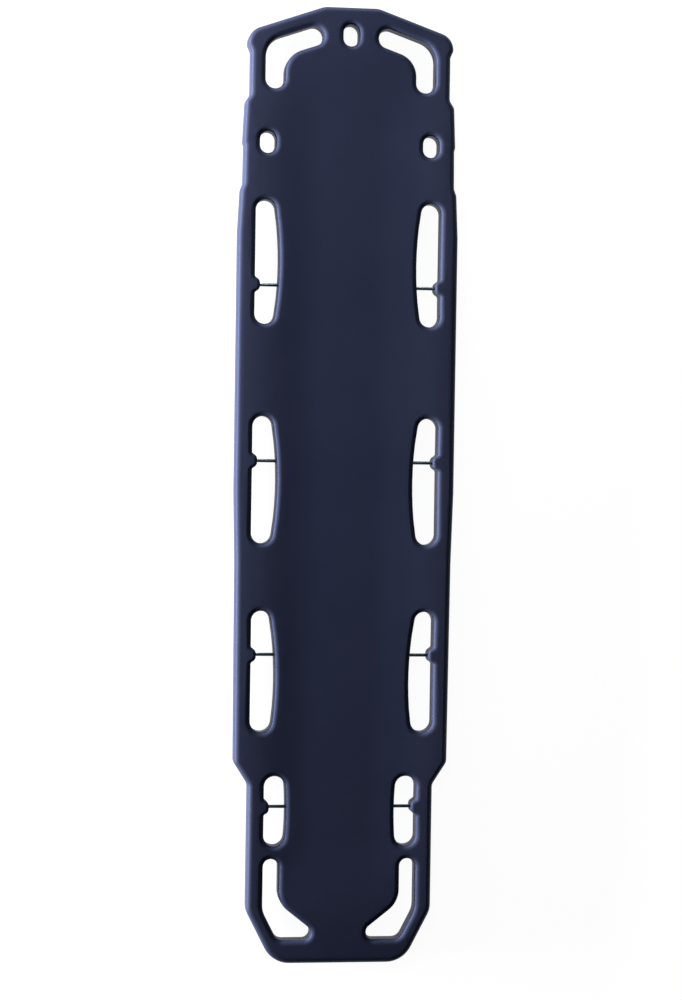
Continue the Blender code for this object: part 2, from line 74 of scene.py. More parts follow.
# %% Edge of the board: insets, stations and corner radii
TOP_FLAT, HEAD_SLOPE, CROWN_RADIUS = 104 * MM, math.radians(19.25), 40 * MM
LIP_INSET, LIP_STATION, LIP_STEP, HEAD_CORNER_RADIUS = 14 * MM, 76 * MM, 13 * MM, 47 * MM
NECK_INSET, SHOULDER_STATION, SHOULDER_STEP = 19.8 * MM, 171 * MM, 14 * MM
SHOULDER_INSET, ARM_INSET, ARM_STATION = 10.7 * MM, 7.5 * MM, 261 * MM
ARM_NOTCH, ARM_NOTCH_STEP = 2 * MM, 8 * MM
CHEST_INSET, CHEST_STATION, CHEST_STEP, CHEST_STEP_INSET = 8.6 * MM, 340 * MM, 13 * MM, 3.8 * MM
HIP_STATION, WAIST_INSET, WAIST_STATION = 435 * MM, 0.4 * MM, 905 * MM
THIGH_INSET, THIGH_STATION = 3.8 * MM, 770 * MM
TAPER_INSET, TAPER_STATION, TAPER_LENGTH, TAPER_RADIUS = 6 * MM, 386 * MM, 43 * MM, 18 * MM
FOOT_INSET, FOOT_STATION, FOOT_SLOPE = 33.5 * MM, 101 * MM, math.radians(27.1)
FOOT_BEND_RADIUS, FOOT_CORNER_RADIUS, STEP_RADIUS = 45 * MM, 54 * MM, 14 * MM

# %% Slots, grips and strap holes
SLOT_INSETS, FOOT_RAIL_WIDTH = (33.7 * MM, 33.2 * MM, 36 * MM), 31.7 * MM
SLOT_RUN_HEAD_STATION, SLOT_RUN_FOOT_STATION = 370 * MM, 444 * MM
SLOT_WEBS, SLOT_SHARES = (176 * MM, 129 * MM), (0.332, 0.342, 0.326)
SLOT_WIDTHS = (45.6 * MM, 47.3 * MM, 46.2 * MM)
SLOT_BULGE_DROPS, SLOT_PIN_DROPS = (2 * MM, 4 * MM, 17 * MM), (161 * MM, 85 * MM, 84 * MM)
FOOT_SLOT_STATION, FOOT_SLOT_LENGTH = 225 * MM, 134 * MM
FOOT_SLOT_WIDTH, FOOT_SLOT_PIN_DROP = 41.6 * MM, 59.5 * MM
SLOT_END_RADIUS, SLOT_BULGE_RADIUS = 24 * MM, 700 * MM
SLOT_WALL_SHARES, BORE_ANGLES = (0.2, 0.3, 0.4, 0.5, 0.6, 0.7, 0.8), range(90, -91, -15)
HEAD_GRIP_RAIL, HEAD_GRIP_WIDTH, HEAD_GRIP_STATION = 28.8 * MM, 36.6 * MM, 158 * MM
HEAD_GRIP_END_X, HEAD_GRIP_OUTER_RADIUS, HEAD_GRIP_INNER_RADIUS = 54.2 * MM, 42 * MM, 46 * MM
GRIP_END_RADIUS, FOOT_GRIP_END_RADIUS, FOOT_GRIP_TIP_RADIUS = 19 * MM, 16 * MM, 14 * MM
FOOT_GRIP_WIDTH, FOOT_GRIP_LENGTH, FOOT_GRIP_BOTTOM_RAIL = 29.5 * MM, 99 * MM, 45 * MM
FOOT_GRIP_SPLAY, FOOT_GRIP_BEND_STATION = math.radians(38.5), 116 * MM
FOOT_GRIP_BEND_RADIUS, CENTRE_HOLE_STATION = 50 * MM, 53 * MM
STRAP_HOLE_STATION, STRAP_HOLE_EDGE = 260.5 * MM, 47.3 * MM
STRAP_HOLE_WIDTH, STRAP_HOLE_LENGTH = 30 * MM, 41 * MM
BOSS_HEIGHT, BOSS_BASE_WIDTH, BOSS_TIP_WIDTH = 9.5 * MM, 30 * MM, 17 * MM
BOSS_TIP_RADIUS, BOSS_BASE_RADIUS = 11 * MM, 5 * MM
BOSS_EASE_REACH, BOSS_EASE_WIDTH, BOSS_EASE_GAIN = 0.75 * BOSS_BASE_WIDTH, 1.2 * BOSS_HEIGHT, 1.6

# %% Moulding: edge rounding, wall, dish, runners and the plugs' holes
RIM_RADIUS, BOSS_RIM_RADIUS, RIM_STEPS = 10 * MM, 6 * MM, 9
SKIN, SEAM_BREAK, SKIN_SHARP_ANGLE = 3 * MM, 0.5 * MM, math.radians(38)
DISH_DEPTH, DISH_FLAT, DISH_EDGE_MARGIN = 4.5 * MM, 55 * MM, 20 * MM
DISH_END_MARGIN, DISH_RAMP = 75 * MM, 170 * MM
RUNNER_WIDTH, RUNNER_EDGE, RUNNER_FILLET, RUNNER_MARGIN = 26 * MM, 4 * MM, 2 * MM, 6 * MM
RUNNER_HEAD_STATION, RUNNER_FILLET_STEPS, RUNNER_EDGE_STEPS = 185 * MM, 3, 4
PIN_BORE, WALL_MARGIN = 3.475 * MM, 1 * MM
CHORD_SAG, SMALLEST_TURN, LONGEST_MITRE = 0.1 * MM, math.radians(8), 2
GRID, SKIN_WELD = 16 * MM, 0.005 * MM

# %% [markdown]
# ## Outlines
# Seen from above, the board is one closed outline with fifteen openings. Each could be a Bezier
# curve drawn by eye, but a corner with a radius is how a mould maker describes it, so one function
# turns corners into arcs. An arc's chords leave it by a tenth of a millimetre, which looks round.


# %% Corners with radii become arcs
def corner_sides(corners, index):
    """A corner's place, its two sides as vectors away from it, and the turn between them."""
    here = Vector(corners[index][:2])
    before = Vector(corners[index - 1][:2]) - here
    after = Vector(corners[(index + 1) % len(corners)][:2]) - here
    return here, before, after, math.pi - before.angle(after)


def arc_reaches(corners):
    """How far each corner's arc reaches along its sides. Two arcs too long for a side share it."""
    wanted, sides, shares = [], [], []
    for index, (_, _, radius) in enumerate(corners):
        _, before, _, turn = corner_sides(corners, index)
        wanted.append(radius * math.tan(turn / 2) if turn > SMALLEST_TURN else 0)
        sides.append(before.length)
    for index, side in enumerate(sides):
        both = wanted[index - 1] + wanted[index]
        shares.append(min(1, side / both) if both > 0 else 1)
    following = shares[1:] + shares[:1]
    return [reach * min(pair) for reach, *pair in zip(wanted, shares, following)]


def rounded(corners):
    """Points of a closed outline from (x, y, radius) corners."""
    points = []
    for index, reach in enumerate(arc_reaches(corners)):
        here, before, after, turn = corner_sides(corners, index)
        if reach == 0:
            points.append(here)
            continue
        start = here + before.normalized() * reach
        end = here + after.normalized() * reach
        radius = reach / math.tan(turn / 2)
        inward = (before.normalized() + after.normalized()).normalized()
        centre = here + inward * (radius / math.cos(turn / 2))
        steps = max(2, math.ceil(turn / (2 * math.acos(1 - min(1, CHORD_SAG / radius)))))
        swing = Vector(start - centre).angle_signed(end - centre)
        for step in range(steps + 1):
            spoke = (start - centre).copy()
            spoke.rotate(Matrix.Rotation(-swing * step / steps, 2))
            points.append(centre + spoke)
    pairs = zip(points[-1:] + points, points)
    return [point for last, point in pairs if (point - last).length > CHORD_SAG]


def mirrored(outline):
    """The same outline on the other side of the board, still in the same direction."""
    return [Vector((-x, y)) for x, y in reversed(outline)]


# %% [markdown]
# The edge steps in at the neck and again at the foot, where bearers grip it end on. Listing its
# corners down one side and mirroring them keeps both sides equal.


# %% The outer edge
def head_slope_y(x):
    return HEAD - (x - TOP_FLAT / 2) * math.tan(HEAD_SLOPE)


def edge_outline():
    lip, neck, foot = HALF - LIP_INSET, HALF - NECK_INSET, HALF - FOOT_INSET
    right = [
        (TOP_FLAT / 2, HEAD, CROWN_RADIUS),
        (lip, head_slope_y(lip), HEAD_CORNER_RADIUS),
        (lip, HEAD - LIP_STATION, STEP_RADIUS),
        (neck, HEAD - LIP_STATION - LIP_STEP, STEP_RADIUS),
        (neck, HEAD - SHOULDER_STATION, STEP_RADIUS),
        (HALF - SHOULDER_INSET, HEAD - SHOULDER_STATION - SHOULDER_STEP, STEP_RADIUS),
        (HALF - ARM_INSET, HEAD - ARM_STATION, 0),
        (HALF - ARM_INSET - ARM_NOTCH, HEAD - ARM_STATION - ARM_NOTCH_STEP, 0),
        (HALF - CHEST_INSET, HEAD - CHEST_STATION, STEP_RADIUS),
        (HALF - CHEST_STEP_INSET, HEAD - CHEST_STATION - CHEST_STEP, STEP_RADIUS),
        (HALF, HEAD - HIP_STATION, 0),
        (HALF - WAIST_INSET, FOOT + WAIST_STATION, 0),
        (HALF - THIGH_INSET, FOOT + THIGH_STATION, 0),
        (HALF - TAPER_INSET, FOOT + TAPER_STATION, TAPER_RADIUS),
        (foot, FOOT + TAPER_STATION - TAPER_LENGTH, TAPER_RADIUS),
        (foot, FOOT + FOOT_STATION, FOOT_BEND_RADIUS),
        (foot - FOOT_STATION * math.tan(FOOT_SLOPE), FOOT, FOOT_CORNER_RADIUS),
    ]
    left = [(-x, y, radius) for x, y, radius in reversed(right)]
    return rounded(right + left)


# %% [markdown]
# The hand slots run along the rails. Their inner walls bow towards the middle, and a steel pin
# crosses each one for the straps to clip to. Round the pin the rail swells into a short boss.


# %% Slots and their pin bosses
def slots():
    """The right-hand slots, each with its walls, its ends and its pin."""
    top = HEAD - SLOT_RUN_HEAD_STATION
    run = top - (FOOT + SLOT_RUN_FOOT_STATION) - sum(SLOT_WEBS)
    found = []
    rows = zip(SLOT_INSETS, SLOT_SHARES, SLOT_WIDTHS, SLOT_BULGE_DROPS, SLOT_PIN_DROPS,
               SLOT_WEBS + (0,))
    for inset, share, width, drop, pin_drop, web in rows:
        bottom = top - run * share
        outer = HALF - inset
        found.append({"outer": outer, "inner": outer - width, "top": top, "bottom": bottom,
                      "bulge": (top + bottom) / 2 - drop, "pin": top - pin_drop})
        top = bottom - web
    bottom = FOOT + FOOT_SLOT_STATION
    top = bottom + FOOT_SLOT_LENGTH
    outer = HALF - FOOT_INSET - FOOT_RAIL_WIDTH
    found.append({"outer": outer, "inner": outer - FOOT_SLOT_WIDTH, "top": top, "bottom": bottom,
                  "bulge": (top + bottom) / 2, "pin": top - FOOT_SLOT_PIN_DROP})
    return found


def inner_wall_x(slot, y):
    return slot["inner"] + (y - slot["bulge"]) ** 2 / (2 * SLOT_BULGE_RADIUS)


def bore_stations(pin):
    """Places along the wall where the half-round bore of a pin needs a point, head side first."""
    return [pin + PIN_BORE * math.sin(math.radians(angle)) for angle in BORE_ANGLES]


def slot_outline(slot):
    top, bottom, wall, pin = slot["top"], slot["bottom"], slot["outer"], slot["pin"]
    tip = wall - BOSS_HEIGHT
    bulge = [bottom + (top - bottom) * share for share in SLOT_WALL_SHARES]
    inner = sorted(bulge + bore_stations(pin))
    return rounded(
        [(wall, top, SLOT_END_RADIUS)]
        + [(wall, pin + BOSS_BASE_WIDTH / 2, BOSS_BASE_RADIUS)]
        + [(tip, pin + BOSS_TIP_WIDTH / 2, BOSS_TIP_RADIUS)]
        + [(tip, pin - BOSS_TIP_WIDTH / 2, BOSS_TIP_RADIUS)]
        + [(wall, pin - BOSS_BASE_WIDTH / 2, BOSS_BASE_RADIUS)]
        + [(wall, bottom, SLOT_END_RADIUS)]
        + [(inner_wall_x(slot, bottom), bottom, SLOT_END_RADIUS)]
        + [(inner_wall_x(slot, y), y, 0) for y in inner]
        + [(inner_wall_x(slot, top), top, SLOT_END_RADIUS)]
    )


for slot in slots():
    print("slot", {name: round(value / MM) for name, value in slot.items()})


# %% Oval strap holes and the grips at the two ends
def oval_outline(x, y):
    half_width, half_length = STRAP_HOLE_WIDTH / 2, STRAP_HOLE_LENGTH / 2
    corners = [(1, 1), (1, -1), (-1, -1), (-1, 1)]
    return rounded([(x + a * half_width, y + b * half_length, half_width) for a, b in corners])


def head_grip_outline():
    """An L that keeps one rail's width from the side and from the sloping head edge."""
    outer = HALF - NECK_INSET - HEAD_GRIP_RAIL
    inner = outer - HEAD_GRIP_WIDTH
    bottom = HEAD - HEAD_GRIP_STATION
    rail_drop = HEAD_GRIP_RAIL / math.cos(HEAD_SLOPE)
    channel_drop = (HEAD_GRIP_RAIL + HEAD_GRIP_WIDTH) / math.cos(HEAD_SLOPE)
    lean = HEAD_GRIP_WIDTH / 2 * math.sin(HEAD_SLOPE)
    near_top, near_bottom = HEAD_GRIP_END_X + lean, HEAD_GRIP_END_X - lean
    return rounded([
        (outer, bottom, GRIP_END_RADIUS),
        (inner, bottom, GRIP_END_RADIUS),
        (inner, head_slope_y(inner) - channel_drop, HEAD_GRIP_INNER_RADIUS),
        (near_bottom, head_slope_y(near_bottom) - channel_drop, GRIP_END_RADIUS),
        (near_top, head_slope_y(near_top) - rail_drop, GRIP_END_RADIUS),
        (outer, head_slope_y(outer) - rail_drop, HEAD_GRIP_OUTER_RADIUS),
    ])


def foot_grip_outline():
    """A straight channel beside the rail that splays inwards above the foot edge."""
    outer = HALF - FOOT_INSET - FOOT_RAIL_WIDTH
    inner = outer - FOOT_GRIP_WIDTH
    bottom, bend = FOOT + FOOT_GRIP_BOTTOM_RAIL, FOOT + FOOT_STATION
    inner_bend = FOOT + FOOT_GRIP_BEND_STATION
    toe = outer - (bend - bottom) * math.tan(FOOT_SLOPE)
    tip = inner - (inner_bend - bottom) / math.tan(FOOT_GRIP_SPLAY)
    return rounded([
        (outer, bend + FOOT_GRIP_LENGTH, FOOT_GRIP_END_RADIUS),
        (inner, bend + FOOT_GRIP_LENGTH, FOOT_GRIP_END_RADIUS),
        (inner, inner_bend, FOOT_GRIP_BEND_RADIUS),
        (tip, bottom, FOOT_GRIP_TIP_RADIUS),
        (toe, bottom, GRIP_END_RADIUS),
        (outer, bend, FOOT_BEND_RADIUS),
    ])


def openings():
    right = [slot_outline(slot) for slot in slots()] + [head_grip_outline(), foot_grip_outline()]
    right.append(oval_outline(HALF - ARM_INSET - STRAP_HOLE_EDGE, HEAD - STRAP_HOLE_STATION))
    centre = oval_outline(0, HEAD - CENTRE_HOLE_STATION)
    return [centre] + right + [mirrored(outline) for outline in right]


print("edge has", len(edge_outline()), "points, and the openings", sum(map(len, openings())))

# %% [markdown]
# ## Rings of a rounded rim
# A rim could be a Bevel on a flat plate, but a bevel has one width, and the real rim is tighter
# round the pin bosses. So each outline becomes a loop of edges that is extruded ring by ring.
# Custom data on its points holds the outline's place, the direction into the plastic, the local rim
# radius and the rise over a pin's bore. An extrusion copies that data, so every new ring can be
# placed from it.


# %% A loop of edges with its own plan data
def local_rim(x, y):
    """The rim's radius at a point of an outline: tighter where the rail swells round a pin."""
    for slot in slots():
        beside = abs(y - slot["pin"]) / BOSS_EASE_REACH
        on_rail = slot["outer"] - BOSS_EASE_WIDTH < abs(x) < slot["outer"] + WALL_MARGIN
        if beside < 1 and on_rail:
            ease = min(1, BOSS_EASE_GAIN * (1 - beside * beside) ** 2)
            return RIM_RADIUS + (BOSS_RIM_RADIUS - RIM_RADIUS) * ease
    return RIM_RADIUS


def bore_rise(x, y):
    """How far a shell's edge stands off the parting plane, to leave a half-round bore for a pin."""
    for slot in slots():
        across = abs(y - slot["pin"])
        on_wall = slot["inner"] - WALL_MARGIN < abs(x) < slot["outer"] + WALL_MARGIN
        if across < PIN_BORE and on_wall:
            return math.sqrt(PIN_BORE**2 - across**2)
    return 0


def clockwise(outline):
    """The outline in the order that keeps its inside on the right."""
    pairs = zip(outline, outline[1:] + outline[:1])
    area = sum(here.x * after.y - here.y * after.x for here, after in pairs)
    return outline[::-1] if area > 0 else outline


LAYERS = ("plan", "into", "facts")


def layers(bm):
    """The data that each point carries, in the order of LAYERS."""
    return [bm.verts.layers.float_vector[name] for name in LAYERS]


def outline_loop(bm, outline, is_opening):
    """Edges through the outline's points. The points hold what every ring is placed from."""
    outline = clockwise(outline)
    plan, into, facts = layers(bm)
    side = 1 if is_opening else -1
    loop = []
    for before, here, after in zip(outline[-1:] + outline, outline, outline[1:] + outline[:1]):
        ahead, behind = (after - here).normalized(), (here - before).normalized()
        along = (ahead + behind).normalized()
        mitre = 1 / max(1 / LONGEST_MITRE, along.dot(ahead))
        point = bm.verts.new((*here, 0))
        point[plan] = (*here, 0)
        point[into] = Vector((-along.y, along.x, 0)) * side * mitre
        point[facts] = (local_rim(*here), bore_rise(*here), 0)
        loop.append(point)
    return [bm.edges.new(pair) for pair in zip(loop, loop[1:] + loop[:1])]


def place_ring(bm, edges, shift, height):
    """Put a loop's points where their data says: shift and height take (rim radius, bore rise)."""
    plan, into, facts = layers(bm)
    for point in {corner for edge in edges for corner in edge.verts}:
        rim, rise, _ = point[facts]
        point.co = point[plan] + point[into] * shift(rim, rise)
        point.co.z = height(rim, rise)


def next_ring(bm, edges, shift, height):
    """Extrude a loop of edges and place the new loop."""
    grown = bmesh.ops.extrude_edge_only(bm, edges=edges)["geom"]
    ring = [item for item in grown if isinstance(item, bmesh.types.BMEdge) and item.is_boundary]
    place_ring(bm, ring, shift, height)
    return ring


def ring_through(bm, edges, stops):
    """Place a loop at the first stop and extrude it through the others."""
    place_ring(bm, edges, *stops[0])
    for stop in stops[1:]:
        edges = next_ring(bm, edges, *stop)
    return edges


# %% [markdown]
# ## One half of the moulding
# The board is moulded in two halves that meet in a fine seam half way up. Both halves share their
# edge: a broken corner at the seam, a straight wall, and a quarter round of rim. Heights here count
# up from the parting plane, and the base is turned over at the end.


# %% Rim profile and the runner's profile
def rim_stops():
    """From the broken corner at the seam, up the wall and round the rim to the flat."""
    stops = [
        (lambda rim, rise: SEAM_BREAK, lambda rim, rise: SEAM + rise),
        (lambda rim, rise: 0, lambda rim, rise: SEAM + SEAM_BREAK + rise),
    ]
    for step in range(RIM_STEPS + 1):
        turn = math.pi / 2 * step / RIM_STEPS
        stops.append((
            lambda rim, rise, turn=turn: rim * (1 - math.cos(turn)),
            lambda rim, rise, turn=turn: BODY_HALF - rim + rim * math.sin(turn),
        ))
    return stops


def runner_stops():
    """From the root fillet on the underside to the rounded edge of the foot."""
    stops = []
    for step in range(RUNNER_FILLET_STEPS + 1):
        turn = math.pi / 2 * step / RUNNER_FILLET_STEPS
        out = RUNNER_FILLET * (1 - math.sin(turn))
        rise = RUNNER_FILLET * (1 - math.cos(turn))
        stops.append((lambda *_, out=out: -out, lambda *_, rise=rise: BODY_HALF + rise))
    for step in range(RUNNER_EDGE_STEPS + 1):
        turn = math.pi / 2 * step / RUNNER_EDGE_STEPS
        out = RUNNER_EDGE * (1 - math.cos(turn))
        drop = RUNNER_EDGE * (1 - math.sin(turn))
        top = BODY_HALF + RUNNER_HEIGHT
        stops.append((lambda *_, out=out: out, lambda *_, drop=drop, top=top: top - drop))
    return stops


def runner_outline():
    """A long oval beside the slots. The base's two runners are this one and its mirror image."""
    outer = min(slot["inner"] for slot in slots()[:3]) - RIM_RADIUS - RUNNER_MARGIN
    inner = outer - RUNNER_WIDTH
    head = HEAD - RUNNER_HEAD_STATION
    foot = FOOT + FOOT_SLOT_STATION + FOOT_SLOT_LENGTH + RUNNER_WIDTH
    corners = [(outer, head), (outer, foot), (inner, foot), (inner, head)]
    return rounded([(x, y, RUNNER_WIDTH / 2) for x, y in corners])


# %% [markdown]
# The flat between the rims is filled in one go, with every opening left out. Fill makes long thin
# triangles, which bend badly, so evenly spaced planes cut it into a grid before the dish is made.


# %% Fill and grid the flat
def fill_flat(bm, loops):
    """Faces between the loops, cut into a grid."""
    edges = [edge for loop in loops for edge in loop]
    made = bmesh.ops.triangle_fill(bm, use_beauty=True, use_dissolve=False, edges=edges)["geom"]
    flat = [item for item in made if isinstance(item, bmesh.types.BMFace)]
    for normal, low, high in ((Vector((1, 0, 0)), -HALF, HALF), (Vector((0, 1, 0)), FOOT, HEAD)):
        count = round((high - low) / GRID)
        for index in range(1, count):
            place = normal * (low + (high - low) * index / count)
            geom = set(flat)
            geom |= {edge for face in flat for edge in face.edges}
            geom |= {corner for face in flat for corner in face.verts}
            cut = bmesh.ops.bisect_plane(bm, geom=list(geom), plane_co=place, plane_no=normal)
            flat = [item for item in cut["geom"] if isinstance(item, bmesh.types.BMFace)]


def smoothstep(low, high, value):
    share = min(1, max(0, (value - low) / (high - low)))
    return share * share * (3 - 2 * share)


def dish_drop(x, y):
    """Depth of the shallow hollow that keeps a patient centred."""
    across = 1 - smoothstep(DISH_FLAT, HALF - DISH_EDGE_MARGIN, abs(x))
    from_end = min(HEAD - y, y - FOOT)
    return DISH_DEPTH * across * smoothstep(DISH_END_MARGIN, DISH_END_MARGIN + DISH_RAMP, from_end)


# %% From points to a finished skin
def new_piece(name, bm):
    """An object from a finished bmesh, which is freed."""
    mesh = bpy.data.meshes.new(name)
    bm.to_mesh(mesh)
    bm.free()
    piece = bpy.data.objects.new(name, mesh)
    bpy.context.scene.collection.objects.link(piece)
    return piece


def apply_modifiers(piece):
    """Give the object the mesh that its modifiers make, and take the modifiers off."""
    graph = bpy.context.evaluated_depsgraph_get()
    mesh = bpy.data.meshes.new_from_object(piece.evaluated_get(graph))
    mesh.name = piece.name
    old = piece.data
    piece.modifiers.clear()
    piece.data = mesh
    bpy.data.meshes.remove(old)


def thickened(piece):
    """The skin with its wall behind it, and with normals that keep the flats flat."""
    wall = piece.modifiers.new("wall", "SOLIDIFY")
    wall.thickness = SKIN
    wall.offset = -1
    wall.use_even_offset = True
    apply_modifiers(piece)
    piece.data.shade_smooth()
    piece.data.set_sharp_from_angle(angle=SKIN_SHARP_ANGLE)
    weigh = piece.modifiers.new("face weighted normals", "WEIGHTED_NORMAL")
    weigh.keep_sharp = True
    apply_modifiers(piece)
    mesh = piece.data
    print(piece.name, len(mesh.vertices), "points,", len(mesh.polygons), "faces")
    return piece


# %% Put one half together
def half_shell(name, faces_up, extra):
    """A skin with rims round every outline. extra adds loops to the flat, such as a hole's."""
    bm = bmesh.new()
    for layer in LAYERS:
        bm.verts.layers.float_vector.new(layer)
    loops = [ring_through(bm, outline_loop(bm, edge_outline(), False), rim_stops())]
    for outline in openings():
        loops.append(ring_through(bm, outline_loop(bm, outline, True), rim_stops()))
    loops += extra(bm)
    fill_flat(bm, loops)
    for layer in LAYERS:
        bm.verts.layers.float_vector.remove(bm.verts.layers.float_vector[layer])
    bmesh.ops.remove_doubles(bm, verts=bm.verts, dist=SKIN_WELD)
    bmesh.ops.recalc_face_normals(bm, faces=bm.faces)
    highest = max(bm.faces, key=lambda face: face.calc_center_median().z)
    if highest.normal.z < 0:
        bmesh.ops.reverse_faces(bm, faces=bm.faces)
    if faces_up:
        for point in bm.verts:
            point.co.z *= 1 - dish_drop(point.co.x, point.co.y) / BODY_HALF
    else:
        half_turn = Matrix.Rotation(math.pi, 3, "Y")
        bmesh.ops.rotate(bm, cent=(0, 0, 0), matrix=half_turn, verts=bm.verts)
    bmesh.ops.translate(bm, vec=(0, 0, PARTING), verts=bm.verts)
    return thickened(new_piece(name, bm))


# %% [markdown]
# ## Deck
# The deck is the half that a patient lies on. It has nothing on its flat but the dish.

# %% Deck skin
deck = half_shell("deck_skin", True, lambda bm: [])

# %% [markdown]
# ## Base
# The base carries two long runners that keep fingers' room under the rails, and two holes that were
# used to fill the board with foam. The runners and holes are loops in the flat, like the openings.

# %% Plugs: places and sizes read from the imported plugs
STEM_SHARES = {"foam_fill_plug": 9 / 13, "vent_plug": 5 / 8}
PLUG_CLEARANCE, HOLE_STEPS = 0.3 * MM, 40


def circle(centre, radius):
    turns = [-2 * math.pi * step / HOLE_STEPS for step in range(HOLE_STEPS)]
    return [Vector((centre.x + radius * math.cos(turn), centre.y + radius * math.sin(turn)))
            for turn in turns]


def plug_sizes(name, stem_share):
    """A plug's centre, the radii of its head and stem, and its lowest and highest heights."""
    low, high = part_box(name)
    head = (high.x - low.x) / 2
    return (low + high) / 2, head, head * stem_share, low.z, high.z


# %% Base skin
def base_extras(bm):
    """The runners' root loops, whose feet are filled, and the plugs' holes. The base is drawn face
    up here and turned over about Y later, so its plan is drawn mirrored in X."""
    loops = []
    for outline in (runner_outline(), mirrored(runner_outline())):
        edges = outline_loop(bm, outline, False)
        root = list(edges)
        foot = ring_through(bm, edges, runner_stops())
        bmesh.ops.triangle_fill(bm, use_beauty=True, use_dissolve=False, edges=foot)
        loops.append(root)
    for name, stem_share in STEM_SHARES.items():
        centre, _, stem, _, _ = plug_sizes(name, stem_share)
        hole = circle(Vector((-centre.x, centre.y)), stem + PLUG_CLEARANCE)
        edges = outline_loop(bm, hole, True)
        place_ring(bm, edges, lambda *_: 0, lambda *_: BODY_HALF)
        loops.append(edges)
    return loops


base = half_shell("base_skin", False, base_extras)

# %% [markdown]
# ## Turned pieces
# The pins and plugs are round, so each is a profile spun about its axis. A full spin with use_merge
# closes the seam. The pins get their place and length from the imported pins.


# %% Spin a profile
SPIN_STEPS, SPIN_WELD, TURNED_SHARP_ANGLE, CORNER_STEPS = 48, 0.01 * MM, math.radians(30), 4


def spun(name, profile, place, axis):
    """A solid from (radius, height) points spun about Z, then turned so that Z lies along axis."""
    bm = bmesh.new()
    points = [bm.verts.new((radius, 0, height)) for radius, height in profile]
    edges = [bm.edges.new(pair) for pair in zip(points, points[1:])]
    bmesh.ops.spin(bm, geom=points + edges, cent=(0, 0, 0), axis=(0, 0, 1), angle=2 * math.pi,
                   steps=SPIN_STEPS, use_merge=True, use_duplicate=False)
    bmesh.ops.remove_doubles(bm, verts=bm.verts, dist=SPIN_WELD)
    turn = Vector(axis).to_track_quat("Z", "Y").to_matrix().to_4x4()
    bmesh.ops.transform(bm, matrix=Matrix.Translation(place) @ turn, verts=bm.verts)
    bmesh.ops.recalc_face_normals(bm, faces=bm.faces)
    piece = new_piece(name, bm)
    piece.data.shade_smooth()
    piece.data.set_sharp_from_angle(angle=TURNED_SHARP_ANGLE)
    return piece


def rounded_end(radius, height, edge, up):
    """Profile points round a corner of a turned piece, from its side to its end face."""
    turns = [math.pi / 2 * step / CORNER_STEPS for step in range(CORNER_STEPS + 1)]
    return [(radius - edge * (1 - math.cos(turn)), height - up * edge * (1 - math.sin(turn)))
            for turn in turns]


# %% Strap pins
PIN_EDGE = 0.6 * MM
pins = []
for node in sorted(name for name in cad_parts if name.startswith("strap_pin")):
    low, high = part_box(node)
    half, radius = (high.x - low.x) / 2, (high.y - low.y) / 2
    top = rounded_end(radius, half, PIN_EDGE, 1)
    bottom = rounded_end(radius, -half, PIN_EDGE, -1)
    profile = [(0, -half)] + bottom[::-1] + top + [(0, half)]
    pin = spun(node + "_steel", profile, (low + high) / 2, (1, 0, 0))
    pins.append((pin, node))
print(len(pins), "pins of radius", round(radius / MM, 2), "mm")

# %% [markdown]
# The plugs are moulded caps pressed into the underside. Each has a flat head with a rounded edge
# and a shallow ring sunk into it, and a stem with two grip ribs.

# %% Plugs
HEAD_THICKNESS, PLUG_EDGE, RECESS_DEPTH, RIB = 1.6 * MM, 0.7 * MM, 0.5 * MM, 0.25 * MM
RIB_SHARES = (0.35, 0.6)
RECESS_RIM, RECESS_FLOOR = (0.62, 0.24), (0.56, 0.3)
plugs = []
for name, stem_share in STEM_SHARES.items():
    centre, head, stem, low, top = plug_sizes(name, stem_share)
    seat, recess = low + HEAD_THICKNESS, low + RECESS_DEPTH
    profile = [(0, top), (stem - PLUG_EDGE, top), (stem, top - PLUG_EDGE)]
    for share in RIB_SHARES:
        height = top + (seat - top) * share
        profile += [(stem, height + RIB), (stem + RIB / 2, height), (stem, height - RIB)]
    profile += [(stem, seat), (head, seat)]
    profile += rounded_end(head, low, PLUG_EDGE, -1)
    profile += [(RECESS_RIM[0] * head, low), (RECESS_FLOOR[0] * head, recess)]
    profile += [(RECESS_FLOOR[1] * head, recess), (RECESS_RIM[1] * head, low), (0, low)]
    plug = spun(name + "_cap", profile, (centre.x, centre.y, 0), (0, 0, 1))
    plugs.append((plug, name))
print("plugs", [name for _, name in plugs])

# %% [markdown]
# ## Shader maths
# Patterns are sums and products of noise. Written as Node Tree calls they are hard to read, so one
# class wraps a socket and lets Python's own operators add the Math nodes.


